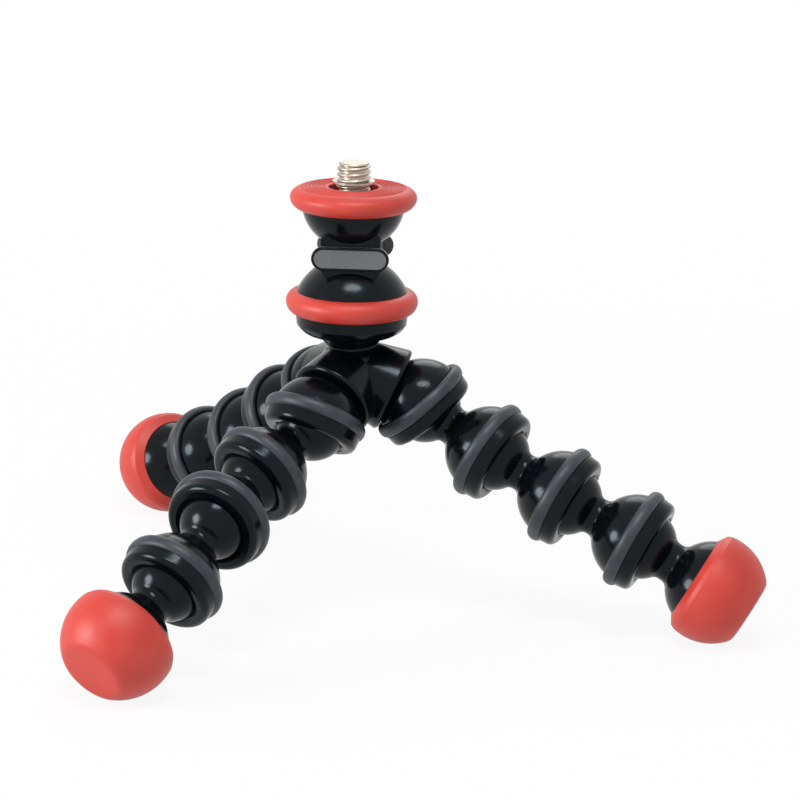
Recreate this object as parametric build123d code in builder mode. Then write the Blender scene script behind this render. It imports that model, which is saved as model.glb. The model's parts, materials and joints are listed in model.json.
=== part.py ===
from build123d import *

import os
from math import asin, copysign, cos, degrees, radians, sin, sqrt

# Flexible leg tripod, in millimetres, +Z up.
# The floor is z = 0, and the origin is the middle of the ground that the tripod covers.
# Three legs of ball-and-socket links stand on magnetic feet and carry a ball head with a camera stud.
# Azimuths turn from +X towards +Y, and a dip is the angle below the horizontal.

os.makedirs("parts", exist_ok=True)

# Ball joints of the legs: a ball's centre lies a little ahead of the middle of the dome that holds it
ball_r = 6.75
joint_gap = 0.08
socket_lead = 0.75
neck_r = 3.65
neck_length = 0.25
foot_neck_r = 3.85
foot_neck_length = 0.6
neck_blend_r = 1.5

# Domed socket at the far end of every link
socket_r = ball_r + joint_gap
dome_wall = 1.77
dome_r = socket_r + dome_wall
lip_wall = 2.37
lip_r = socket_r + lip_wall
lip_taper = 0.15
lip_end_r = lip_r - lip_taper
lip_end_height = 2.1
mouth_chamfer = 0.22
mouth_r = socket_r + mouth_chamfer
mouth_face_width = 0.85
mouth_face_r = mouth_r + mouth_face_width
mouth_height = 3.25
throat_height = 2.1

# Rubber grip ring in the groove between dome and lip
fit_gap = 0.05
groove_wall = 1.12
groove_r = socket_r + groove_wall
grip_height = -0.75
grip_width = 2.7
grip_side_thickness = 0.75
grip_side_r = groove_r + fit_gap + grip_side_thickness
grip_thickness = 1.78
grip_r = groove_r + fit_gap + grip_thickness

# Feet: a hard core with a magnet in its nose, inside a rubber boot
foot_dome_wall = 2.02
foot_dome_r = socket_r + foot_dome_wall
boot_thickness = 1.37
boot_r = foot_dome_r + fit_gap + boot_thickness
boot_wide_height = -0.25
boot_rim_height = -3.9
boot_rim_face_width = 1.71
boot_rim_face_height = -2.85
boot_wall_low_height = -1.9
boot_end_inset = 0.75
boot_end_height = foot_dome_r - boot_end_inset
boot_edge_drop = 0.2
boot_skin = 0.75
nose_r = 5.9
magnet_r = 4.5
magnet_thickness = 3.0

# Head: one ball joint, waist, pad and camera stud, upright over the hub
head_x = -13.9
head_y = -0.97
head_turn_angle = -4.0
head_ball_r = 6.8
head_neck_r = 4.8
head_socket_r = head_ball_r + joint_gap
collar_r = 10.6
collar_top_height = 1.15
collar_side_r = 10.35
collar_side_height = -0.9
collar_bend_r = 9.4
collar_bend_height = -2.1
collar_mouth_r = 6.6
collar_mouth_height = -3.0
collar_throat_height = -2.6
running_gap = 0.05
ring_groove_r = 9.2
ring_top_height = 5.4
ring_foot_r = 10.6
ring_top_r = 10.15
ring_r = 12.4
ring_wide_height = 3.4
shoulder_r = 11.4
shoulder_centre_height = 0.6
waist_r = 5.25
bowl_foot_r = 5.65
bowl_foot_rise = 2.25
bowl_middle_r = 8.4
bowl_middle_rise = 2.8
bowl_rim_width = 0.85
bowl_rim_rise = 5.9
seat_r = 8.7
seat_rise = 1.85

# Waist block, a bar from front to back with a finger plate on each end
block_half_width = 5.65
block_half_depth = 6.5
block_foot_height = 8.3
block_foot_half_width = 4.35
block_flare_rise = 2.1
block_side_length = 5.8
block_top_rise = 1.7
block_top_half_width = 4.1
block_edge_r = 0.4
plate_length = 14.45
plate_width = 4.45
plate_thickness = 0.9
plate_edge_r = 0.3
plate_rise = 2.35
peg_length = 7.0
peg_width = 2.2
peg_depth = 1.2

# Rubber camera pad, dished a little round the hole for the stud
pad_foot_thickness = 0.65
pad_bulge = 2.45
pad_wide_rise = 0.45
pad_crest_width = 3.35
pad_crest_rise = 1.95
pad_hole_r = 4.65
pad_dish_depth = 0.05

# Camera stud, 1/4 inch, with a six-sided flange that holds it against turning
stud_r = 3.175
stud_tip_length = 3.4
stud_chamfer = 0.6
stud_root_depth = 6.1
flange_r = 4.4
flange_thickness = 1.2
keeper_r = 3.95
keeper_groove_r = 2.8
keeper_thickness = 0.4
keeper_rise = 0.7

# Hub: three horns round an upright axis that leans a little under the head
hub_lean_x_angle = 1.7
hub_lean_y_angle = -3.4
hub_turn_angle = -7.2
hub_drop = 10.35
hub_core_r = 7.0
horn_dip_angle = 27.0
horn_reach = 14.35
horn_rim_distance = 5.85
horn_root_r = 6.55
horn_rim_wall = 1.73
horn_edge_r = 0.8
root_socket_dip_angle = 52.5

# Pose of the legs: azimuths of the links and the foot, from the hub outwards, and their dips.
# The first dip of the front and back legs is left out, because the floor sets it.
leg_turn_angles = {"right": 0, "back": 120, "front": 240}
leg_azimuth_angles = {
    "right": (-26.1, -22.6, -20, -15.2),
    "back": (128.6, 119.6, 128.5, 126.7),
    "front": (227.6, 243.1, 236.4, 233.4),
}
leg_dip_angles = {
    "right": (26.9, 25.3, 24.9, 29.1),
    "back": (29.4, 25.7, 19.3),
    "front": (17.7, 29.5, 27.5),
}
quarter_angle = 90


def direction(azimuth, dip):
    """Unit vector at an azimuth and a dip."""
    level = cos(radians(dip))
    return Vector(level * cos(radians(azimuth)), level * sin(radians(azimuth)), -sin(radians(dip)))


def section(centre, axis):
    """Plane through an axis, with its Y along the axis and its X level."""
    level = Vector(0, 0, 1).cross(axis).normalized()
    return Plane(origin=centre, x_dir=level, z_dir=level.cross(axis))


def sphere_arc(radius, start, end, centre=0):
    """Outline of a sphere between two heights over its centre."""
    low, high = asin(start / radius), asin(end / radius)
    angles = (low, (low + high) / 2, high)
    ThreePointArc(*[(radius * cos(angle), centre + radius * sin(angle)) for angle in angles])


def sphere_width(radius, height):
    """Half width of a sphere at a height over its centre."""
    return sqrt(radius**2 - height**2)


def blend_height(sphere_radius, neck_radius, blend_radius):
    """Height over a sphere's centre at which a neck starts to widen into the sphere."""
    return sphere_width(sphere_radius + blend_radius, neck_radius + blend_radius)


def ball_reach(far_radius, neck_radius, length):
    """Distance from a ball's centre, over a neck, to the centre of the dome that carries it."""
    near = blend_height(ball_r, neck_radius, neck_blend_r)
    return near + length + blend_height(far_radius, neck_radius, neck_blend_r)


def ball_and_neck(far_radius, neck_radius, length):
    """Outline from the ball's pole along the neck to the dome that carries the neck."""
    near = blend_height(ball_r, neck_radius, neck_blend_r)
    far = blend_height(far_radius, neck_radius, neck_blend_r)
    reach = ball_reach(far_radius, neck_radius, length)
    near_touch = near * ball_r / (ball_r + neck_blend_r)
    far_touch = far * far_radius / (far_radius + neck_blend_r)
    sphere_arc(ball_r, -ball_r, near_touch, -reach)
    ball_end = (sphere_width(ball_r, near_touch), near_touch - reach)
    TangentArc((neck_radius, near - reach), ball_end, tangent=(0, -1))
    Line((neck_radius, near - reach), (neck_radius, -far))
    TangentArc((neck_radius, -far), (sphere_width(far_radius, far_touch), -far_touch), tangent=(0, 1))
    return -far_touch


def dome_and_socket(dome_start):
    """Outline from a height on the dome over groove, lip and mouth to the bottom of the socket."""
    groove_low = grip_height - grip_width / 2
    groove_high = grip_height + grip_width / 2
    sphere_arc(dome_r, dome_start, groove_low)
    Polyline(
        (sphere_width(dome_r, groove_low), groove_low),
        (groove_r, groove_low),
        (groove_r, groove_high),
        (lip_r, groove_high),
        (lip_end_r, lip_end_height),
    )
    TangentArc(
        (lip_end_r, lip_end_height),
        (mouth_face_r, mouth_height),
        tangent=(lip_end_r - lip_r, lip_end_height - groove_high),
    )
    Polyline(
        (mouth_face_r, mouth_height),
        (mouth_r, mouth_height),
        (sphere_width(socket_r, throat_height), socket_lead + throat_height),
    )
    sphere_arc(socket_r, throat_height, -socket_r, socket_lead)


def boot_width(height):
    """Half width of a boot at a height over the centre of the foot's dome."""
    return sphere_width(boot_r, height - boot_wide_height)


def make_link(centre, axis, name):
    """Leg link in one moulding: ball, neck, dome, grip groove, lip and socket."""
    plane = section(centre, axis)
    with BuildPart() as link:
        with BuildSketch(plane):
            with BuildLine():
                dome_start = ball_and_neck(dome_r, neck_r, neck_length)
                dome_and_socket(dome_start)
                Line((0, socket_lead - socket_r), (0, -link_reach - ball_r))
            make_face()
        revolve(axis=Axis(plane.origin, plane.y_dir))
    link.part.label = name
    export_step(link.part, f"parts/{name}.step")


def make_root_socket(centre, axis, name):
    """First socket of a leg, a closed dome that sits in the hub's horn."""
    plane = section(centre, axis)
    with BuildPart() as root_socket:
        with BuildSketch(plane):
            with BuildLine():
                dome_and_socket(-dome_r)
                Line((0, socket_lead - socket_r), (0, -dome_r))
            make_face()
        revolve(axis=Axis(plane.origin, plane.y_dir))
    root_socket.part.label = name
    export_step(root_socket.part, f"parts/{name}.step")


def make_grip(centre, axis, name):
    """Rubber grip ring, flat inside and rounded outside, stretched into a link's groove."""
    plane = section(centre, axis)
    low = grip_height - grip_width / 2 + fit_gap
    high = grip_height + grip_width / 2 - fit_gap
    inner_r = groove_r + fit_gap
    with BuildPart() as grip:
        with BuildSketch(plane):
            with BuildLine():
                Polyline((grip_side_r, low), (inner_r, low), (inner_r, high), (grip_side_r, high))
                ThreePointArc((grip_side_r, high), (grip_r, grip_height), (grip_side_r, low))
            make_face()
        revolve(axis=Axis(plane.origin, plane.y_dir))
    grip.part.label = name
    export_step(grip.part, f"parts/{name}.step")


def make_foot(centre, axis, leg):
    """Foot core, magnet and rubber boot of one leg."""
    plane = section(centre, axis)
    spin = Axis(plane.origin, plane.y_dir)
    nose_height = boot_end_height - boot_skin
    nose_start = sphere_width(foot_dome_r, nose_r)
    pocket_height = nose_height - magnet_thickness
    with BuildPart() as foot_core:
        with BuildSketch(plane):
            with BuildLine():
                dome_start = ball_and_neck(foot_dome_r, foot_neck_r, foot_neck_length)
                sphere_arc(foot_dome_r, dome_start, nose_start)
                Polyline(
                    (nose_r, nose_start),
                    (nose_r, nose_height),
                    (magnet_r + fit_gap, nose_height),
                    (magnet_r + fit_gap, pocket_height),
                    (0, pocket_height),
                    (0, -foot_reach - ball_r),
                )
            make_face()
        revolve(axis=spin)
    foot_core.part.label = f"{leg}_foot_core"
    export_step(foot_core.part, f"parts/{leg}_foot_core.step")

    with BuildPart() as magnet:
        with BuildSketch(plane):
            with BuildLine():
                Polyline(
                    (0, pocket_height + fit_gap),
                    (magnet_r, pocket_height + fit_gap),
                    (magnet_r, nose_height),
                    (0, nose_height),
                    close=True,
                )
            make_face()
        revolve(axis=spin)
    magnet.part.label = f"{leg}_foot_magnet"
    export_step(magnet.part, f"parts/{leg}_foot_magnet.step")

    bore_r = foot_dome_r + fit_gap
    bore_nose_r = nose_r + fit_gap
    bore_nose_start = sphere_width(bore_r, bore_nose_r)
    bore_end = nose_height + fit_gap
    rim_r = sphere_width(bore_r, boot_rim_height)
    rim_face_r = rim_r + boot_rim_face_width
    wall_high_height = boot_end_height - boot_edge_drop
    wall_turn = asin((wall_high_height - boot_wide_height) / boot_r)
    face_r = boot_width(wall_high_height) - boot_edge_drop * (1 + sin(wall_turn)) / cos(wall_turn)
    with BuildPart() as foot_boot:
        with BuildSketch(plane):
            with BuildLine():
                Line((rim_r, boot_rim_height), (rim_face_r, boot_rim_face_height))
                TangentArc(
                    (rim_face_r, boot_rim_face_height),
                    (boot_width(boot_wall_low_height), boot_wall_low_height),
                    tangent=(boot_rim_face_width, boot_rim_face_height - boot_rim_height),
                )
                sphere_arc(
                    boot_r,
                    boot_wall_low_height - boot_wide_height,
                    wall_high_height - boot_wide_height,
                    boot_wide_height,
                )
                TangentArc(
                    (face_r, boot_end_height),
                    (boot_width(wall_high_height), wall_high_height),
                    tangent=(1, 0),
                )
                Polyline(
                    (face_r, boot_end_height),
                    (0, boot_end_height),
                    (0, bore_end),
                    (bore_nose_r, bore_end),
                    (bore_nose_r, bore_nose_start),
                )
                sphere_arc(bore_r, bore_nose_start, boot_rim_height)
            make_face()
        revolve(axis=spin)
    foot_boot.part.label = f"{leg}_foot_boot"
    export_step(foot_boot.part, f"parts/{leg}_foot_boot.step")


# Places: the right leg sets the hub's height, because its boot stands on the floor
def lean(vector):
    """Turn a direction of the upright hub into the leaning hub."""
    return vector.rotate(Axis.Y, hub_lean_y_angle).rotate(Axis.X, hub_lean_x_angle)


def leg_drop(dips):
    """Height that a row of links and the foot at its end come down, to the floor."""
    down = pitch * sum(sin(radians(dip)) for dip in dips[:-1])
    return boot_r + down + (foot_reach + boot_wide_height) * sin(radians(dips[-1]))


hub_up = lean(Vector(0, 0, 1))
horn_axes = {
    leg: lean(direction(hub_turn_angle + angle, horn_dip_angle)) for leg, angle in leg_turn_angles.items()
}
root_axes = {
    leg: lean(direction(hub_turn_angle + angle, root_socket_dip_angle))
    for leg, angle in leg_turn_angles.items()
}
link_reach = ball_reach(dome_r, neck_r, neck_length)
foot_reach = ball_reach(foot_dome_r, foot_neck_r, foot_neck_length)
pitch = link_reach + socket_lead
first_joint = horn_axes["right"] * horn_reach + root_axes["right"] * socket_lead
hub_height = leg_drop(leg_dip_angles["right"]) - first_joint.Z
head_centre = Vector(head_x, head_y, hub_height + hub_drop * hub_up.Z)
hub_centre = head_centre - hub_up * hub_drop
roots = {leg: hub_centre + axis * horn_reach for leg, axis in horn_axes.items()}

# Hub: core, neck and head ball in one outline, then the horns, hollowed for the root sockets
hub_plane = section(hub_centre, hub_up)
horn_face = horn_reach - horn_rim_distance
horn_rim_r = sphere_width(dome_r + fit_gap, horn_rim_distance) + horn_rim_wall
with BuildPart() as hub:
    with BuildSketch(hub_plane):
        with BuildLine():
            neck_start = sphere_width(hub_core_r, head_neck_r)
            neck_end = -sphere_width(head_ball_r, head_neck_r)
            sphere_arc(hub_core_r, -hub_core_r, neck_start)
            Line((head_neck_r, neck_start), (head_neck_r, hub_drop + neck_end))
            sphere_arc(head_ball_r, neck_end, head_ball_r, hub_drop)
            Line((0, hub_drop + head_ball_r), (0, -hub_core_r))
        make_face()
    revolve(axis=Axis(hub_plane.origin, hub_plane.y_dir))
    for leg, axis in horn_axes.items():
        horn_plane = section(hub_centre, axis)
        with BuildSketch(horn_plane):
            with BuildLine():
                side_end = (horn_rim_r, horn_face - horn_edge_r)
                face_edge = (horn_rim_r - horn_edge_r, horn_face)
                Polyline((0, horn_face), (0, 0), (horn_root_r, 0), side_end)
                TangentArc(side_end, face_edge, tangent=(horn_rim_r - horn_root_r, horn_face))
                Line(face_edge, (0, horn_face))
            make_face()
        revolve(axis=Axis(horn_plane.origin, horn_plane.y_dir))
    with Locations(*roots.values()):
        Sphere(dome_r + fit_gap, mode=Mode.SUBTRACT)
hub.part.label = "hub"
export_step(hub.part, "parts/hub.step")

# Legs: a root socket in the hub's horn, three links and a foot, each ball in the socket before it
for leg in leg_turn_angles:
    make_root_socket(roots[leg], root_axes[leg], f"{leg}_root_socket")
    make_grip(roots[leg], root_axes[leg], f"{leg}_root_grip")
    joint = roots[leg] + root_axes[leg] * socket_lead
    dips = list(leg_dip_angles[leg])
    if len(dips) < len(leg_azimuth_angles[leg]):
        dips.insert(0, degrees(asin((joint.Z - leg_drop(dips)) / pitch)))
    axes = [direction(azimuth, dip) for azimuth, dip in zip(leg_azimuth_angles[leg], dips)]
    for number, axis in enumerate(axes[:-1], start=1):
        centre = joint + axis * link_reach
        make_link(centre, axis, f"{leg}_link_{number}")
        make_grip(centre, axis, f"{leg}_grip_{number}")
        joint = joint + axis * pitch
    make_foot(joint + axes[-1] * foot_reach, axes[-1], leg)

# Head: upright outline plane, and a plane across the waist block that faces the front
head_plane = Plane(origin=head_centre, x_dir=(1, 0, 0), z_dir=(0, -1, 0))
head_axis = Axis(head_plane.origin, head_plane.y_dir)
front_plane = Plane(
    origin=head_centre,
    x_dir=(cos(radians(head_turn_angle)), sin(radians(head_turn_angle)), 0),
    z_dir=(sin(radians(head_turn_angle)), -cos(radians(head_turn_angle)), 0),
)
head_foot_height = collar_top_height + running_gap
block_low_height = block_foot_height + block_flare_rise
block_high_height = block_low_height + block_side_length
block_top_height = block_high_height + block_top_rise
plate_height = block_low_height + plate_rise
bowl_foot_height = plate_height + bowl_foot_rise
bowl_middle_height = bowl_foot_height + bowl_middle_rise
bowl_rim_height = bowl_foot_height + bowl_rim_rise
bowl_rim_r = seat_r + bowl_rim_width
seat_height = bowl_rim_height + seat_rise
pad_foot_r = seat_r + fit_gap + pad_foot_thickness
pad_r = pad_foot_r + pad_bulge
pad_crest_r = pad_r - pad_crest_width
pad_wide_height = seat_height + pad_wide_rise
pad_crest_height = pad_wide_height + pad_crest_rise
keeper_height = pad_crest_height + keeper_rise
keeper_groove_top = keeper_height + keeper_thickness + 2 * fit_gap
stud_root_height = seat_height - stud_root_depth
stud_top_height = keeper_groove_top + stud_tip_length

# Collar: black rim that holds the head on the hub's ball
with BuildPart() as head_collar:
    with BuildSketch(head_plane):
        with BuildLine():
            Polyline(
                (sphere_width(head_socket_r, collar_top_height), collar_top_height),
                (collar_r, collar_top_height),
                (collar_side_r, collar_side_height),
            )
            ThreePointArc(
                (collar_side_r, collar_side_height),
                (collar_bend_r, collar_bend_height),
                (collar_mouth_r, collar_mouth_height),
            )
            Line(
                (collar_mouth_r, collar_mouth_height),
                (sphere_width(head_socket_r, collar_throat_height), collar_throat_height),
            )
            sphere_arc(head_socket_r, collar_throat_height, collar_top_height)
        make_face()
    revolve(axis=head_axis)
head_collar.part.label = "head_collar"
export_step(head_collar.part, "parts/head_collar.step")

# Head body: waist block first, then the turned body with the upper half of the ball's socket
with BuildPart() as head_body:
    with BuildSketch(front_plane):
        with BuildLine():
            Polyline(
                (block_foot_half_width, block_foot_height),
                (block_half_width, block_low_height),
                (block_half_width, block_high_height),
                (block_top_half_width, block_top_height),
                (-block_top_half_width, block_top_height),
                (-block_half_width, block_high_height),
                (-block_half_width, block_low_height),
                (-block_foot_half_width, block_foot_height),
                close=True,
            )
        make_face()
    extrude(amount=block_half_depth, both=True)
    block_ends = head_body.faces().sort_by(Axis.Y)
    fillet(block_ends[0].edges() + block_ends[-1].edges(), block_edge_r)
    with BuildSketch(head_plane):
        with BuildLine():
            shoulder_low = ring_top_height - shoulder_centre_height
            shoulder_high = sphere_width(shoulder_r, waist_r)
            Polyline(
                (sphere_width(head_socket_r, head_foot_height), head_foot_height),
                (ring_groove_r, head_foot_height),
                (ring_groove_r, ring_top_height),
                (sphere_width(shoulder_r, shoulder_low), ring_top_height),
            )
            sphere_arc(shoulder_r, shoulder_low, shoulder_high, shoulder_centre_height)
            Line((waist_r, shoulder_centre_height + shoulder_high), (bowl_foot_r, bowl_foot_height))
            ThreePointArc(
                (bowl_foot_r, bowl_foot_height),
                (bowl_middle_r, bowl_middle_height),
                (bowl_rim_r, bowl_rim_height),
            )
            Polyline(
                (bowl_rim_r, bowl_rim_height),
                (seat_r, bowl_rim_height),
                (seat_r, seat_height),
                (0, seat_height),
                (0, head_socket_r),
            )
            sphere_arc(head_socket_r, head_foot_height, head_socket_r)
        make_face()
    revolve(axis=head_axis)
    with BuildSketch(Plane(head_centre).offset(seat_height)):
        Circle(stud_r + fit_gap)
    extrude(amount=stud_root_height - fit_gap - seat_height, mode=Mode.SUBTRACT)
    with BuildSketch(Plane(head_centre).offset(seat_height)):
        RegularPolygon(flange_r + fit_gap, side_count=6)
    extrude(amount=-flange_thickness - fit_gap, mode=Mode.SUBTRACT)
    for side in (block_half_depth, -block_half_depth):
        with BuildSketch(front_plane.offset(side)):
            with Locations((0, plate_height)):
                SlotOverall(peg_length + 2 * fit_gap, peg_width + 2 * fit_gap)
        extrude(amount=-copysign(peg_depth + fit_gap, side), mode=Mode.SUBTRACT)
head_body.part.label = "head_body"
export_step(head_body.part, "parts/head_body.step")

# Red grip ring in the groove between head body and collar
with BuildPart() as head_ring:
    with BuildSketch(head_plane):
        with BuildLine():
            ring_bore_r = ring_groove_r + fit_gap
            ring_crest_height = ring_top_height - fit_gap
            Polyline(
                (ring_top_r, ring_crest_height),
                (ring_bore_r, ring_crest_height),
                (ring_bore_r, head_foot_height),
                (ring_foot_r, head_foot_height),
            )
            ThreePointArc(
                (ring_foot_r, head_foot_height),
                (ring_r, ring_wide_height),
                (ring_top_r, ring_crest_height),
            )
        make_face()
    revolve(axis=head_axis)
head_ring.part.label = "head_ring"
export_step(head_ring.part, "parts/head_ring.step")

# Finger plates, each on a peg in the end of the waist block
for name, side in (("waist_plate_front", 1), ("waist_plate_back", -1)):
    with BuildPart() as waist_plate:
        with BuildSketch(front_plane.offset(side * block_half_depth)):
            with Locations((0, plate_height)):
                SlotOverall(plate_length, plate_width)
        extrude(amount=side * plate_thickness)
        outer_face = waist_plate.faces().sort_by(Axis.Y)[0 if side > 0 else -1]
        fillet(outer_face.edges(), plate_edge_r)
        with BuildSketch(front_plane.offset(side * block_half_depth)):
            with Locations((0, plate_height)):
                SlotOverall(peg_length, peg_width)
        extrude(amount=-side * peg_depth)
    waist_plate.part.label = name
    export_step(waist_plate.part, f"parts/{name}.step")

# Camera pad, a rubber cap over the seat at the top of the bowl
with BuildPart() as camera_pad:
    with BuildSketch(head_plane):
        with BuildLine():
            recess_height = seat_height + fit_gap
            Polyline(
                (pad_crest_r, pad_crest_height),
                (pad_hole_r, pad_crest_height - pad_dish_depth),
                (pad_hole_r, recess_height),
                (seat_r + fit_gap, recess_height),
                (seat_r + fit_gap, bowl_rim_height),
                (pad_foot_r, bowl_rim_height),
            )
            EllipticalCenterArc(
                (pad_foot_r, pad_wide_height),
                pad_r - pad_foot_r,
                pad_wide_height - bowl_rim_height,
                start_angle=-quarter_angle,
                arc_size=quarter_angle,
            )
            EllipticalCenterArc(
                (pad_crest_r, pad_wide_height),
                pad_r - pad_crest_r,
                pad_crest_height - pad_wide_height,
                start_angle=0,
                arc_size=quarter_angle,
            )
        make_face()
    revolve(axis=head_axis)
camera_pad.part.label = "camera_pad"
export_step(camera_pad.part, "parts/camera_pad.step")

# Camera stud with its six-sided flange in the seat and a groove for the keeper ring
with BuildPart() as camera_stud:
    with BuildSketch(head_plane):
        with BuildLine():
            Polyline(
                (0, stud_root_height),
                (stud_r, stud_root_height),
                (stud_r, keeper_height),
                (keeper_groove_r, keeper_height),
                (keeper_groove_r, keeper_groove_top),
                (stud_r, keeper_groove_top),
                (stud_r, stud_top_height - stud_chamfer),
                (stud_r - stud_chamfer, stud_top_height),
                (0, stud_top_height),
                close=True,
            )
        make_face()
    revolve(axis=head_axis)
    with BuildSketch(Plane(head_centre).offset(seat_height)):
        RegularPolygon(flange_r, side_count=6)
    extrude(amount=-flange_thickness)
camera_stud.part.label = "camera_stud"
export_step(camera_stud.part, "parts/camera_stud.step")

# Keeper ring, snapped into the stud's groove just over the pad
with BuildPart() as stud_keeper:
    with BuildSketch(Plane(head_centre).offset(keeper_height + fit_gap)):
        Circle(keeper_r)
        Circle(keeper_groove_r + fit_gap, mode=Mode.SUBTRACT)
    extrude(amount=keeper_thickness)
stud_keeper.part.label = "stud_keeper"
export_step(stud_keeper.part, "parts/stud_keeper.step")
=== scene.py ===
import json
from math import acos, asin, cos, pi, radians, sin, tau

import bmesh
import bpy
from mathutils import Matrix, Vector


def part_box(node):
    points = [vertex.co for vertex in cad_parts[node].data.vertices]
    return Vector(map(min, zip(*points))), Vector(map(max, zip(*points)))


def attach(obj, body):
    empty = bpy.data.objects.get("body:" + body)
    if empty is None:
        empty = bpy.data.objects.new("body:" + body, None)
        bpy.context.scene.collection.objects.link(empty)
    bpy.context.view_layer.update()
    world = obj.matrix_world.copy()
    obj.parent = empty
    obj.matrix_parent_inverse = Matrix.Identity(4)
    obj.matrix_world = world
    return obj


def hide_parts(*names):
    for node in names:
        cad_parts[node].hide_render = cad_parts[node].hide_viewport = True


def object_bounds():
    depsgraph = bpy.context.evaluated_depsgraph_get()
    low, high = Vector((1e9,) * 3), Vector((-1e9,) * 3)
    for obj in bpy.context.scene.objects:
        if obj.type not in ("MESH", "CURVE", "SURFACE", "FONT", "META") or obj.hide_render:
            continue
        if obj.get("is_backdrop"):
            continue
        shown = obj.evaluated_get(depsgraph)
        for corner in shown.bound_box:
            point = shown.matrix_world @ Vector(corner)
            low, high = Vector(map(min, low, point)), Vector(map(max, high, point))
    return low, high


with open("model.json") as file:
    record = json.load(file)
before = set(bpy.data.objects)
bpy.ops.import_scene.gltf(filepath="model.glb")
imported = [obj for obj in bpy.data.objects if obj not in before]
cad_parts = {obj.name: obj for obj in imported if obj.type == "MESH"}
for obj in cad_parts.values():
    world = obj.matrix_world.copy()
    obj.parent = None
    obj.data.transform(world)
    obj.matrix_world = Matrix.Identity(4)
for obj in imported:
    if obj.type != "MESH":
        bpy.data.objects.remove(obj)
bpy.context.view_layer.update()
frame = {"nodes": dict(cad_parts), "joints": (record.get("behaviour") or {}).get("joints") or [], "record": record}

# Hub and root sockets: three-horned centre of the legs, with the first domed socket seated in each horn.
# Polished black ABS, injection moulded, so it is smooth with a trace of flow ripple and faint rub marks.
nodes = frame["nodes"]
legs = ("right", "back", "front")


def wire(tree, source, output, target, socket):
    """Joins one node's output to another node's input."""
    tree.links.new(source.outputs[output], target.inputs[socket])


def feed(tree, value, socket):
    """Gives a node's input a number, or another node's output."""
    if isinstance(value, (int, float)):
        socket.default_value = value
    else:
        tree.links.new(value, socket)


def blank_material(name):
    """A new material, with its node tree and its Principled shader."""
    material = bpy.data.materials.new(name)
    material.use_nodes = True
    return material, material.node_tree, material.node_tree.nodes["Principled BSDF"]


def noise_on(tree, scale, detail, roughness):
    """Noise on the piece's own coordinates, which are in metres."""
    coordinates = tree.nodes.new("ShaderNodeTexCoord")
    noise = tree.nodes.new("ShaderNodeTexNoise")
    noise.inputs["Scale"].default_value = scale
    noise.inputs["Detail"].default_value = detail
    noise.inputs["Roughness"].default_value = roughness
    wire(tree, coordinates, "Object", noise, "Vector")
    return noise.outputs["Fac"]


def spread(tree, value, stretch, target):
    """Maps a stretch of a value to another stretch, with its ends held."""
    remap = tree.nodes.new("ShaderNodeMapRange")
    for socket, number in zip(("From Min", "From Max", "To Min", "To Max"), (*stretch, *target)):
        remap.inputs[socket].default_value = number
    feed(tree, value, remap.inputs["Value"])
    return remap.outputs["Result"]


def mottled(tree, shader, noise, tones, tone_stretch, gloss, gloss_stretch):
    """Colours a surface between two tones and spreads its roughness, both by stretches of one noise."""
    ramp = tree.nodes.new("ShaderNodeValToRGB")
    for stop, colour in zip(ramp.color_ramp.elements, tones):
        stop.color = (*colour, 1)
    feed(tree, spread(tree, noise, tone_stretch, (0.0, 1.0)), ramp.inputs["Fac"])
    wire(tree, ramp, "Color", shader, "Base Color")
    feed(tree, spread(tree, noise, gloss_stretch, gloss), shader.inputs["Roughness"])


def raised(tree, shader, noise, height):
    """Raises the surface by a noise, up to a height in metres."""
    bump = tree.nodes.new("ShaderNodeBump")
    bump.inputs["Distance"].default_value = height
    feed(tree, noise, bump.inputs["Height"])
    wire(tree, bump, "Normal", shader, "Normal")


def polished_black():
    """Polished black ABS with flow ripple and faint rub marks."""
    material, tree, shader = blank_material("polished_black_abs")
    rubs = noise_on(tree, scale=1400, detail=5.0, roughness=0.65)
    mottled(
        tree, shader, rubs,
        tones=((0.0012, 0.0018, 0.0027), (0.003, 0.004, 0.0056)), tone_stretch=(0.35, 0.7),
        gloss=(0.14, 0.27), gloss_stretch=(0.35, 0.8),
    )
    ripple = noise_on(tree, scale=90, detail=1.5, roughness=0.55)
    raised(tree, shader, ripple, height=0.00004)
    shader.inputs["Specular IOR Level"].default_value = 0.18
    shader.inputs["Specular Tint"].default_value = (0.8, 0.93, 1.0, 1)
    return material


def dress(material, *names):
    """Gives CAD nodes a material in place of the plain one."""
    for name in names:
        mesh = nodes[name].data
        mesh.materials.clear()
        mesh.materials.append(material)


black = polished_black()
dress(black, "hub", *[f"{leg}_root_socket" for leg in legs])

# Links and foot cores: each link is one moulding, a ball on a neck behind a domed socket with a lip.
# The same black ABS, and every ball is pushed through the lip of the socket before it until it snaps in.
for leg in legs:
    dress(black, *[f"{leg}_link_{number}" for number in (1, 2, 3)], f"{leg}_foot_core")

# Grip rings: one soft dark grey rubber band on every socket, so that the leg holds round a pole.
# Moulded as a closed oval-section ring, matt with a fine grain and dusty scuffs, and stretched into a groove.
joint_places = {joint["name"]: Vector(joint["pos_m"]) for joint in frame["joints"]}
grip_crest_r = 0.00978
grip_bore_r = 0.0080
grip_half_width = 0.0013
grip_middle_r = (grip_crest_r + grip_bore_r) / 2
grip_round_points = 160
grip_section_points = 36


def grip_rubber():
    """Matt dark grey rubber with a fine grain and dusty scuffs."""
    material, tree, shader = blank_material("dark_grey_rubber")
    scuffs = noise_on(tree, scale=330, detail=8.0, roughness=0.65)
    mottled(
        tree, shader, scuffs,
        tones=((0.015, 0.020, 0.027), (0.036, 0.045, 0.057)), tone_stretch=(0.38, 0.74),
        gloss=(0.5, 0.4), gloss_stretch=(0.3, 0.7),
    )
    grain = noise_on(tree, scale=5200, detail=2.0, roughness=0.5)
    raised(tree, shader, grain, height=0.00002)
    shader.inputs["Specular IOR Level"].default_value = 0.45
    return material


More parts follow.
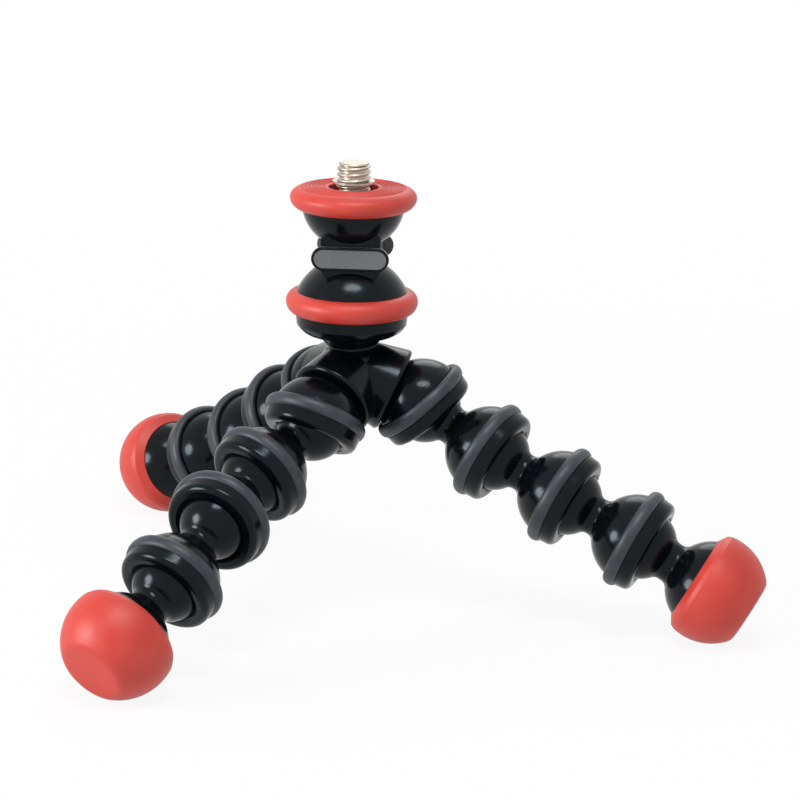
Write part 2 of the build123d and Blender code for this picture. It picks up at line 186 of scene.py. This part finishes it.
def shape_tree(name, sockets):
    """A geometry node tree with named inputs, and its input and output nodes."""
    tree = bpy.data.node_groups.new(name, "GeometryNodeTree")
    tree.interface.new_socket(name="Geometry", in_out="OUTPUT", socket_type="NodeSocketGeometry")
    for label, kind in sockets.items():
        tree.interface.new_socket(name=label, in_out="INPUT", socket_type=f"NodeSocket{kind}")
    return tree, tree.nodes.new("NodeGroupInput"), tree.nodes.new("NodeGroupOutput")


def end_tree(tree, given, result, shape):
    """Smooths the shape, realizes it, gives it the material and sends it out."""
    smooth = tree.nodes.new("GeometryNodeSetShadeSmooth")
    real = tree.nodes.new("GeometryNodeRealizeInstances")
    finish = tree.nodes.new("GeometryNodeSetMaterial")
    wire(tree, shape, "Geometry", smooth, "Geometry")
    wire(tree, smooth, "Geometry", real, "Geometry")
    wire(tree, real, "Geometry", finish, "Geometry")
    wire(tree, given, "Material", finish, "Material")
    wire(tree, finish, "Geometry", result, "Geometry")


def grip_ring_tree():
    """Ring of oval section, swept round a circle and set on a socket's axis."""
    tree, given, result = shape_tree("grip_ring_shape", {
        "Radius": "Float", "Section": "Vector", "Centre": "Vector", "Axis": "Vector", "Material": "Material",
    })
    hoop = tree.nodes.new("GeometryNodeCurvePrimitiveCircle")
    hoop.inputs["Resolution"].default_value = grip_round_points
    oval = tree.nodes.new("GeometryNodeCurvePrimitiveCircle")
    oval.inputs["Resolution"].default_value = grip_section_points
    oval.inputs["Radius"].default_value = 1.0
    shaped = tree.nodes.new("GeometryNodeTransform")
    sweep = tree.nodes.new("GeometryNodeCurveToMesh")
    turn = tree.nodes.new("FunctionNodeAlignRotationToVector")
    turn.axis = "Z"
    placed = tree.nodes.new("GeometryNodeTransform")
    wire(tree, given, "Radius", hoop, "Radius")
    wire(tree, oval, "Curve", shaped, "Geometry")
    wire(tree, given, "Section", shaped, "Scale")
    wire(tree, hoop, "Curve", sweep, "Curve")
    wire(tree, shaped, "Geometry", sweep, "Profile Curve")
    wire(tree, sweep, "Mesh", placed, "Geometry")
    wire(tree, given, "Axis", turn, "Vector")
    wire(tree, turn, "Rotation", placed, "Rotation")
    wire(tree, given, "Centre", placed, "Translation")
    end_tree(tree, given, result, placed)
    return tree


def shaped_mesh(name, tree, values, blank=None):
    """Plain mesh that a geometry node tree makes from its values, and from a blank mesh where it cuts one."""
    draft_mesh = blank or bpy.data.meshes.new("draft")
    draft = bpy.data.objects.new("draft", draft_mesh)
    bpy.context.scene.collection.objects.link(draft)
    modifier = draft.modifiers.new("shape", "NODES")
    modifier.node_group = tree
    for item in tree.interface.items_tree:
        if item.in_out == "INPUT" and item.name in values:
            modifier[item.identifier] = values[item.name]
    evaluated = draft.evaluated_get(bpy.context.evaluated_depsgraph_get())
    mesh = bpy.data.meshes.new_from_object(evaluated)
    draft.modifiers.remove(modifier)
    bpy.data.objects.remove(draft)
    bpy.data.meshes.remove(draft_mesh)
    mesh.name = name
    return mesh


def fit_piece(name, mesh, body, node):
    """Fits a finished mesh to a body, and hides the CAD node that it takes the place of."""
    piece = bpy.data.objects.new(name, mesh)
    bpy.context.scene.collection.objects.link(piece)
    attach(piece, body)
    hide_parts(node)


grey_rubber = grip_rubber()
grip_tree = grip_ring_tree()


def node_centre(name):
    """Middle of a CAD node's box."""
    low, high = (Vector(corner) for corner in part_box(name))
    return (low + high) / 2


def fit_grip(node, body, centre, axis):
    """One grip ring on its socket."""
    name = f"{node}_band"
    ring = shaped_mesh(name, grip_tree, {
        "Radius": grip_middle_r,
        "Section": (grip_crest_r - grip_middle_r, grip_half_width, 1.0),
        "Centre": centre,
        "Axis": axis,
        "Material": grey_rubber,
    })
    fit_piece(name, ring, body, node)


for leg in legs:
    balls = [joint_places[f"{leg}_{step}_ball"] for step in ("link_1", "link_2", "link_3", "foot")]
    root_centre = node_centre(f"{leg}_root_grip")
    fit_grip(f"{leg}_root_grip", "hub", root_centre, balls[0] - root_centre)
    for number in (1, 2, 3):
        node = f"{leg}_grip_{number}"
        fit_grip(node, f"{leg}_link_{number}", node_centre(node), balls[number] - balls[number - 1])

# Foot magnets: one disc in the nose of every foot core, behind the boot's end.
# Ground flat, nickel plated and pressed in from the front.
handled_share = 0.8


def bright_metal(name, colour, gloss):
    """Plated metal with fine handling marks, which are a little darker than its colour."""
    material, tree, shader = blank_material(name)
    marks = noise_on(tree, scale=1500, detail=6.0, roughness=0.7)
    mottled(
        tree, shader, marks,
        tones=(tuple(handled_share * part for part in colour), colour), tone_stretch=(0.35, 0.7),
        gloss=gloss, gloss_stretch=(0.3, 0.7),
    )
    raised(tree, shader, marks, height=0.000003)
    shader.inputs["Metallic"].default_value = 1.0
    return material


magnet_nickel = bright_metal("magnet_nickel", colour=(0.62, 0.61, 0.6), gloss=(0.18, 0.32))
dress(magnet_nickel, *[f"{leg}_foot_magnet" for leg in legs])

# Foot boots: coral red rubber caps with a flat end, rolled on over the foot cores.
# Matt moulded rubber with a soft bloom and a fine skin, and a mouth narrower than the dome that it grips.
foot_faces = {
    mount["name"]: (Vector(mount["pos_m"]), Vector(mount["axis"]).normalized())
    for mount in frame["record"]["mounts"]
    if mount["name"].endswith("foot_face")
}
boot_r, boot_wide_height = 0.01027, -0.00025
boot_wall_low, boot_rim_height = -0.0019, -0.0039
boot_rim_face_r, boot_rim_face_height = 0.00971, -0.00285
boot_bore_r, boot_nose_r = 0.0089, 0.00595
boot_end_height, boot_skin = 0.0081, 0.00075
boot_edge_r = 0.0024
boot_rim_angle = -pi / 4
boot_grid = 0.00022
least_step = 1e-7


def coral_rubber():
    """Matt coral red rubber with a soft bloom and a fine skin."""
    material, tree, shader = blank_material("coral_rubber")
    bloom = noise_on(tree, scale=150, detail=6.0, roughness=0.62)
    mottled(
        tree, shader, bloom,
        tones=((0.51, 0.030, 0.018), (0.56, 0.048, 0.031)), tone_stretch=(0.34, 0.7),
        gloss=(0.42, 0.54), gloss_stretch=(0.3, 0.7),
    )
    grain = noise_on(tree, scale=4600, detail=2.0, roughness=0.5)
    raised(tree, shader, grain, height=0.000018)
    shader.inputs["Specular IOR Level"].default_value = 0.54
    return material


def arc(centre_r, centre_height, radius, first, last, count=48):
    """Points of (radius, height) on an arc between two angles, in radians from the outward direction."""
    angles = [first + (last - first) * number / count for number in range(count + 1)]
    return [(centre_r + radius * cos(angle), centre_height + radius * sin(angle)) for angle in angles]


def divided(points, grid):
    """Closed outline through points of (radius, height), with its long runs divided by a grid step."""
    full = []
    for start, end in zip(points, [*points[1:], points[0]]):
        start, end = Vector(start), Vector(end)
        length = (end - start).length
        count = round(length / grid) or 1
        if length > least_step:
            full += [start.lerp(end, number / count) for number in range(count)]
    return full


def turned_mesh(name, outline, centre, axis, material, steps=160):
    """Mesh of an outline turned round an axis, closed where it meets the axis, with its faces outwards."""
    axis = axis.normalized()
    side = axis.orthogonal().normalized()
    across = axis.cross(side)
    points, rows = [], []
    for radius, height in outline:
        if radius < least_step:
            rows.append([len(points)] * steps)
            points.append(centre + axis * height)
        else:
            rows.append(list(range(len(points), len(points) + steps)))
            for number in range(steps):
                angle = tau * number / steps
                points.append(centre + axis * height + (side * cos(angle) + across * sin(angle)) * radius)
    faces = []
    for near, far in zip(rows, [*rows[1:], rows[0]]):
        for number in range(steps):
            after = (number + 1) % steps
            face = list(dict.fromkeys((near[number], near[after], far[after], far[number])))
            if len(face) > 2:
                faces.append(face)
    mesh = bpy.data.meshes.new(name)
    mesh.from_pydata(points, [], faces)
    mesh.validate()
    mesh.shade_smooth()
    mesh.materials.append(material)
    shell = bmesh.new()
    shell.from_mesh(mesh)
    bmesh.ops.recalc_face_normals(shell, faces=shell.faces)
    shell.to_mesh(mesh)
    shell.free()
    return mesh


def boot_outline():
    """Half section of a boot, from the middle of its end over wall and rim back to its inside."""
    edge_height = boot_end_height - boot_edge_r
    edge_reach = boot_r - boot_edge_r
    edge_rise = asin((edge_height - boot_wide_height) / edge_reach)
    wall_low_angle = asin((boot_wall_low - boot_wide_height) / boot_r)
    wall_low_r = boot_r * cos(wall_low_angle)
    mouth_rise = asin(boot_rim_height / boot_bore_r)
    nose_rise = acos(boot_nose_r / boot_bore_r)
    points = [(0.0, boot_end_height)]
    points += arc(edge_reach * cos(edge_rise), edge_height, boot_edge_r, pi / 2, edge_rise)
    points += arc(0.0, boot_wide_height, boot_r, edge_rise, wall_low_angle)
    points += arc(boot_rim_face_r, boot_wall_low, wall_low_r - boot_rim_face_r, 0.0, boot_rim_angle)
    points.append((boot_rim_face_r, boot_rim_face_height))
    points += arc(0.0, 0.0, boot_bore_r, mouth_rise, nose_rise)
    points.append((boot_nose_r, boot_end_height - boot_skin))
    points.append((0.0, boot_end_height - boot_skin))
    return divided(points, boot_grid)


coral = coral_rubber()
boot_section = boot_outline()
for leg in legs:
    name = f"{leg}_boot_cap"
    face_place, outwards = foot_faces[f"{leg}_foot_face"]
    boot_centre = face_place - outwards * boot_end_height
    boot = turned_mesh(name, boot_section, boot_centre, outwards, coral)
    fit_piece(name, boot, f"{leg}_foot", f"{leg}_foot_boot")

# Collar and head body: the collar is the black rim that snaps under the hub's top ball.
# The head body above it is one moulding of socket dome, waist block and bowl, in the same polished ABS.
dress(black, "head_collar", "head_body")

# Head ring: coral rubber band round the seam of collar and head body.
# Moulded with a fat rounded section and stretched into its groove.
head_place = joint_places["head_tilt"]
upwards = Vector((0, 0, 1))
ring_foot, ring_crest = 0.0012, 0.00535
ring_bore_r = 0.00925
ring_foot_r, ring_crest_r, ring_wide_r = 0.0106, 0.01015, 0.0124
ring_wide_height = 0.0034
ring_grid = 0.00015
ring_steps = 40


def ring_outline():
    """Half section of the ring, with a straight bore and a side that swells out between foot and crest."""
    points = [(ring_bore_r, ring_foot), (ring_foot_r, ring_foot)]
    for step in range(1, ring_steps):
        swing = pi * step / ring_steps
        lean = ring_foot_r + (ring_crest_r - ring_foot_r) * step / ring_steps
        half_height = ring_wide_height - ring_foot if swing < pi / 2 else ring_crest - ring_wide_height
        points.append((lean + (ring_wide_r - lean) * sin(swing), ring_wide_height - cos(swing) * half_height))
    points += [(ring_crest_r, ring_crest), (ring_bore_r, ring_crest)]
    return divided(points, ring_grid)


head_band = turned_mesh("head_ring_band", ring_outline(), head_place, upwards, coral)
fit_piece("head_ring_band", head_band, "head", "head_ring")

# Waist plates: two long finger plates, one on each end of the waist block.
# Satin grey face let into a thin black frame, whose side wall is painted a pale grey as a highlight, and set with
# a peg into the block.
plate_half_length = 0.007225
plate_end_r = 0.002225
plate_thickness = 0.0009
block_half_depth = 0.0065
plate_height = 0.01275
plate_edge = 0.0003
edge_steps = 8
frame_width = 0.00018
face_depth = 0.00005
head_turn_angle = radians(-4)


def plate_grey(name, tones):
    """Satin grey paint over plastic, with a fine sparkle."""
    material, tree, shader = blank_material(name)
    spark = noise_on(tree, scale=3800, detail=3.0, roughness=0.6)
    mottled(
        tree, shader, spark,
        tones=tones, tone_stretch=(0.35, 0.7),
        gloss=(0.34, 0.46), gloss_stretch=(0.3, 0.7),
    )
    raised(tree, shader, spark, height=0.00001)
    return material


satin_grey = plate_grey("satin_grey_plastic", tones=((0.085, 0.092, 0.095), (0.14, 0.147, 0.15)))
# Painted highlight: a lighter copy of the satin grey, standing in for the light that the plate's side wall
# catches.
plate_side_highlight = plate_grey("plate_side_painted_highlight", tones=((0.3, 0.3, 0.3), (0.38, 0.38, 0.38)))
plate_finishes = (black, satin_grey, plate_side_highlight)


def slot_row(inset, depth, steps=28):
    """Row of points round a long slot, drawn in by an inset, at a depth outwards."""
    radius = plate_end_r - inset
    reach = plate_half_length - plate_end_r
    row = []
    for side in (1, -1):
        for number in range(steps + 1):
            angle = pi * number / steps - pi / 2
            along = side * (reach + radius * cos(angle))
            rise = side * radius * sin(angle)
            row.append(Vector((along, -block_half_depth - depth, plate_height + rise)))
    return row


def finger_plate(name, node, turn_angle):
    """Finger plate with a rounded black frame, a painted highlight in pale grey on its side wall, and a grey face
    let into it.
    """
    rows = [slot_row(0.0, 0.0)]
    for step in range(edge_steps + 1):
        angle = pi / 2 * step / edge_steps
        rows.append(slot_row(plate_edge * (1 - cos(angle)), plate_thickness - plate_edge * (1 - sin(angle))))
    border = plate_edge + frame_width
    rows.append(slot_row(border, plate_thickness))
    rows.append(slot_row(border + face_depth / 2, plate_thickness - face_depth))
    turn = Matrix.Rotation(turn_angle, 4, "Z")
    shape = bmesh.new()
    made = [[shape.verts.new(head_place + turn @ point) for point in row] for row in rows]
    count = len(made[0])
    for near, far in zip(made, made[1:]):
        for number in range(count):
            after = (number + 1) % count
            side = shape.faces.new((near[number], near[after], far[after], far[number]))
            side.smooth = True
            # The side wall below the rounded edge gets the pale grey painted highlight, and the rest of the frame
            # is black.
            side.material_index = plate_finishes.index(plate_side_highlight if near is made[0] else black)
    for flat_row in (made[0], made[-1]):
        shape.faces.new(flat_row).material_index = plate_finishes.index(satin_grey)
    bmesh.ops.recalc_face_normals(shape, faces=shape.faces)
    mesh = bpy.data.meshes.new(name)
    shape.to_mesh(mesh)
    shape.free()
    for finish in plate_finishes:
        mesh.materials.append(finish)
    fit_piece(name, mesh, "head", node)


finger_plate("front_finger_plate", "waist_plate_front", head_turn_angle)
finger_plate("back_finger_plate", "waist_plate_back", head_turn_angle + pi)

# Camera pad: coral rubber cap on the bowl's seat, which the camera's base is screwed down on.
# Moulded in one piece with fine round grooves in its crest, so that the camera doesn't creep.
seat_r = 0.00875
recess_height = 0.0228
rim_height = 0.0209
pad_foot_r, pad_wide_r = 0.0094, 0.01185
pad_wide_height, pad_crest_height = 0.0232, 0.02515
pad_crest_r, pad_hole_r = 0.0085, 0.00465
pad_lip_r = 0.0003
groove_pitch = 0.00066
groove_depth = 0.00026
groove_count = 7
carving_grid = 0.00006


def reckoned(tree, operation, *values):
    """Output of a math node on values that are numbers or other nodes' outputs."""
    node = tree.nodes.new("ShaderNodeMath")
    node.operation = operation
    for socket, value in zip(node.inputs, values):
        feed(tree, value, socket)
    return node.outputs[0]


def product(tree, first, *others):
    """Output of the math nodes that multiply values together."""
    for other in others:
        first = reckoned(tree, "MULTIPLY", first, other)
    return first


def between(tree, value, low, high):
    """One where a value lies between a low and a high end, and none elsewhere."""
    over = reckoned(tree, "GREATER_THAN", value, low)
    under = reckoned(tree, "LESS_THAN", value, high)
    return product(tree, over, under)


def groove_wave(tree, turns):
    """Rounded grooves, one to a turn: none where a turn begins and one at the groove's bottom."""
    swing = reckoned(tree, "COSINE", product(tree, turns, tau))
    return reckoned(tree, "SUBTRACT", 0.5, product(tree, swing, 0.5))


def ways_from(tree, centre):
    """A point's way from a centre along X, Y and Z, and its distance from the upright axis there."""
    place = tree.nodes.new("GeometryNodeInputPosition")
    apart = tree.nodes.new("ShaderNodeVectorMath")
    apart.operation = "SUBTRACT"
    parts = tree.nodes.new("ShaderNodeSeparateXYZ")
    wire(tree, place, "Position", apart, 0)
    feed(tree, centre, apart.inputs[1])
    wire(tree, apart, 0, parts, 0)
    x, y, z = parts.outputs
    reach = reckoned(tree, "SQRT", reckoned(tree, "ADD", product(tree, x, x), product(tree, y, y)))
    return x, y, z, reach


def end_carved(tree, given, result, shape, ways):
    """Moves the points of the given shape, each by its ways along X, Y and Z, and ends the tree."""
    offset = tree.nodes.new("ShaderNodeCombineXYZ")
    for socket, way in zip(offset.inputs, ways):
        feed(tree, way, socket)
    moved = tree.nodes.new("GeometryNodeSetPosition")
    wire(tree, given, shape, moved, "Geometry")
    wire(tree, offset, "Vector", moved, "Offset")
    end_tree(tree, given, result, moved)


def grooved_tree():
    """Cuts round grooves into a turned cap's top, by the distance from its axis."""
    tree, given, result = shape_tree("pad_groove_shape", {
        "Cap": "Geometry", "Centre": "Vector", "Pitch": "Float", "Depth": "Float",
        "First": "Float", "Last": "Float", "Lowest": "Float", "Material": "Material",
    })
    inputs = given.outputs
    z, reach = ways_from(tree, inputs["Centre"])[2:]
    turns = reckoned(tree, "DIVIDE", reckoned(tree, "SUBTRACT", reach, inputs["First"]), inputs["Pitch"])
    inside = between(tree, reach, inputs["First"], inputs["Last"])
    above = reckoned(tree, "GREATER_THAN", z, inputs["Lowest"])
    drop = product(tree, groove_wave(tree, turns), inputs["Depth"], inside, above, -1.0)
    end_carved(tree, given, result, "Cap", (0.0, 0.0, drop))
    return tree


def pad_outline():
    """Half section of the pad, from its hole over the crest and side back to the seat."""
    points = [(pad_hole_r, recess_height)]
    points += arc(pad_hole_r + pad_lip_r, pad_crest_height - pad_lip_r, pad_lip_r, pi, pi / 2)
    for low_r, height, first, last in (
        (pad_crest_r, pad_crest_height - pad_wide_height, pi / 2, 0.0),
        (pad_foot_r, pad_wide_height - rim_height, 0.0, -pi / 2),
    ):
        for share, rise in arc(0.0, 0.0, 1.0, first, last):
            points.append((low_r + (pad_wide_r - low_r) * share, pad_wide_height + height * rise))
    points += [(seat_r, rim_height), (seat_r, recess_height)]
    return divided(points, carving_grid)


def fit_carved(name, outline, tree, values, node):
    """Turned piece of the head, with its surface cut by a geometry node tree."""
    blank = turned_mesh("blank", outline, head_place, upwards, values["Material"])
    fit_piece(name, shaped_mesh(name, tree, values, blank), "head", node)


fit_carved("camera_pad_cap", pad_outline(), grooved_tree(), {
    "Centre": head_place,
    "Pitch": groove_pitch,
    "Depth": groove_depth,
    "First": pad_hole_r + groove_pitch,
    "Last": pad_hole_r + (1 + groove_count) * groove_pitch,
    "Lowest": (pad_wide_height + pad_crest_height) / 2,
    "Material": coral,
}, "camera_pad")

# Camera stud: the quarter inch screw that goes into the camera's base.
# Turned steel with a rolled right-hand thread, nickel plated, and held by a flange in the head body.
stud_r, stud_root, stud_top = 0.003175, 0.01665, 0.02975
stud_chamfer = 0.0006
keeper_low, keeper_high, keeper_groove_r = 0.02585, 0.02635, 0.0028
thread_pitch = 0.00112
thread_depth = 0.00048


def thread_tree():
    """Cuts a helical groove into a turned rod, by height and by angle round its axis."""
    tree, given, result = shape_tree("stud_thread_shape", {
        "Rod": "Geometry", "Centre": "Vector", "Pitch": "Float", "Depth": "Float",
        "Low": "Float", "High": "Float", "Least Radius": "Float", "Material": "Material",
    })
    inputs = given.outputs
    x, y, z, reach = ways_from(tree, inputs["Centre"])
    around = reckoned(tree, "DIVIDE", reckoned(tree, "ARCTAN2", y, x), tau)
    lifted = reckoned(tree, "SUBTRACT", z, product(tree, around, inputs["Pitch"]))
    turns = reckoned(tree, "DIVIDE", lifted, inputs["Pitch"])
    inside = between(tree, z, inputs["Low"], inputs["High"])
    outside = reckoned(tree, "GREATER_THAN", reach, inputs["Least Radius"])
    inward = product(tree, groove_wave(tree, turns), inputs["Depth"], inside, outside, -1.0)
    share = reckoned(tree, "DIVIDE", inward, reach)
    end_carved(tree, given, result, "Rod", (product(tree, x, share), product(tree, y, share), 0.0))
    return tree


stud_outline = divided([
    (0.0, stud_root),
    (stud_r, stud_root),
    (stud_r, keeper_low),
    (keeper_groove_r, keeper_low),
    (keeper_groove_r, keeper_high),
    (stud_r, keeper_high),
    (stud_r, stud_top - stud_chamfer),
    (stud_r - stud_chamfer, stud_top),
    (0.0, stud_top),
], carving_grid)
bright_nickel = bright_metal("bright_nickel", colour=(0.6, 0.54, 0.47), gloss=(0.28, 0.42))
fit_carved("threaded_camera_stud", stud_outline, thread_tree(), {
    "Centre": head_place,
    "Pitch": thread_pitch,
    "Depth": thread_depth,
    "Low": stud_root,
    "High": stud_top - stud_chamfer / 2,
    "Least Radius": keeper_groove_r,
    "Material": bright_nickel,
}, "camera_stud")

# Stud keeper: thin closed ring in the stud's groove, so that the stud can't drop back into the head.
# Nickel plated steel, pushed down over the stud until it snaps into the groove.
dress(bright_nickel, "stud_keeper")

# Studio: a white table under a white sky, with soft lamps to the left, above the front and behind.
# The lamps light the object at a plain level, and the white is only what the camera and gloss see.
white = (1, 1, 1, 1)
sky_level, sky_seen = 0.5, 1.0
table_tone = (0.8, 0.8, 0.8, 1)
table_roughness = 0.8
floor_half = 3.0
shadow_end, white_start = 0.1, 0.4
near_glow, far_glow = 0.9, 1.0


def clear_rays(tree):
    """One where the camera, gloss or clear material looks at a surface, and none elsewhere."""
    rays = tree.nodes.new("ShaderNodeLightPath").outputs
    seen = reckoned(tree, "MAXIMUM", rays["Is Camera Ray"], rays["Is Transmission Ray"])
    return reckoned(tree, "MAXIMUM", seen, rays["Is Glossy Ray"])


world = bpy.data.worlds.new("studio_world")
bpy.context.scene.world = world
world.use_nodes = True
sky_tree = world.node_tree
sky = sky_tree.nodes["Background"]
sky.inputs["Color"].default_value = white
sky_strength = spread(sky_tree, clear_rays(sky_tree), (0.0, 1.0), (sky_level, sky_seen))
feed(sky_tree, sky_strength, sky.inputs["Strength"])

floor_mesh = bpy.data.meshes.new("studio_floor")
floor_corners = [(x * floor_half, y * floor_half, 0) for x, y in ((-1, -1), (1, -1), (1, 1), (-1, 1))]
floor_mesh.from_pydata(floor_corners, [], [(0, 1, 2, 3)])
floor = bpy.data.objects.new("studio_floor", floor_mesh)
bpy.context.scene.collection.objects.link(floor)
floor_paint, floor_tree, floor_shader = blank_material("white_table")
floor_shader.inputs["Base Color"].default_value = table_tone
floor_shader.inputs["Roughness"].default_value = table_roughness
floor_shader.inputs["Specular IOR Level"].default_value = 0.0
floor_place = floor_tree.nodes.new("ShaderNodeTexCoord")
floor_distance = floor_tree.nodes.new("ShaderNodeVectorMath")
floor_distance.operation = "LENGTH"
wire(floor_tree, floor_place, "Object", floor_distance, 0)
floor_way = floor_distance.outputs["Value"]
glow_share = spread(floor_tree, floor_way, (shadow_end, white_start), (near_glow, far_glow))
glow = floor_tree.nodes.new("ShaderNodeEmission")
mixed = floor_tree.nodes.new("ShaderNodeMixShader")
feed(floor_tree, product(floor_tree, glow_share, clear_rays(floor_tree)), mixed.inputs["Fac"])
wire(floor_tree, floor_shader, "BSDF", mixed, 1)
wire(floor_tree, glow, "Emission", mixed, 2)
wire(floor_tree, mixed, "Shader", floor_tree.nodes["Material Output"], "Surface")
floor_mesh.materials.append(floor_paint)
floor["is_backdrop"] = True

box_low, box_high = (Vector(corner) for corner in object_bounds())
tripod_middle = (box_low + box_high) / 2


def soft_lamp(name, place, width, height, watts):
    """A soft oval area lamp that faces the tripod."""
    lamp = bpy.data.lights.new(name, "AREA")
    lamp.shape = "ELLIPSE"
    lamp.size = width
    lamp.size_y = height
    lamp.energy = watts
    stand = bpy.data.objects.new(name, lamp)
    bpy.context.scene.collection.objects.link(stand)
    aim = (tripod_middle - Vector(place)).to_track_quat("-Z", "Y")
    stand.matrix_world = Matrix.Translation(place) @ aim.to_matrix().to_4x4()


soft_lamp("window_lamp", place=(-0.77, -0.32, 0.25), width=0.32, height=0.34, watts=5.0)
soft_lamp("ceiling_lamp", place=(0.0, -0.36, 0.86), width=0.44, height=0.22, watts=3.9)
soft_lamp("back_lamp", place=(0.1, 0.75, 0.6), width=0.5, height=0.5, watts=1.5)

# Camera: on a stand in front of the tripod, 11 cm above its head, and looking down by about 15 degrees.
# A long lens, 800 pixels wide, and the picture hangs about one degree to the side.
focal_pixels = 3349.06
image_pixels = 800
nearest_seen = 0.01
camera_place = Vector((-0.013283, -0.61364, 0.198885))
camera_pitch, camera_yaw, camera_roll = radians(14.56), radians(-0.818), radians(1.087)
camera_data = bpy.data.cameras.new("photo_camera")
camera_data.sensor_width = 36.0
camera_data.lens = focal_pixels * camera_data.sensor_width / image_pixels
camera_data.clip_start = nearest_seen
forward = Vector((
    sin(-camera_yaw) * cos(camera_pitch),
    cos(camera_yaw) * cos(camera_pitch),
    -sin(camera_pitch),
))
level_line = forward.cross(upwards).normalized()
upright = level_line.cross(forward)
right = level_line * cos(camera_roll) + upright * sin(camera_roll)
camera = bpy.data.objects.new("photo_camera", camera_data)
bpy.context.scene.collection.objects.link(camera)
turned = Matrix((right, right.cross(forward), -forward)).transposed()
camera.matrix_world = Matrix.Translation(camera_place) @ turned.to_4x4()
bpy.context.scene.camera = camera
bpy.context.scene.view_settings.view_transform = "Standard"
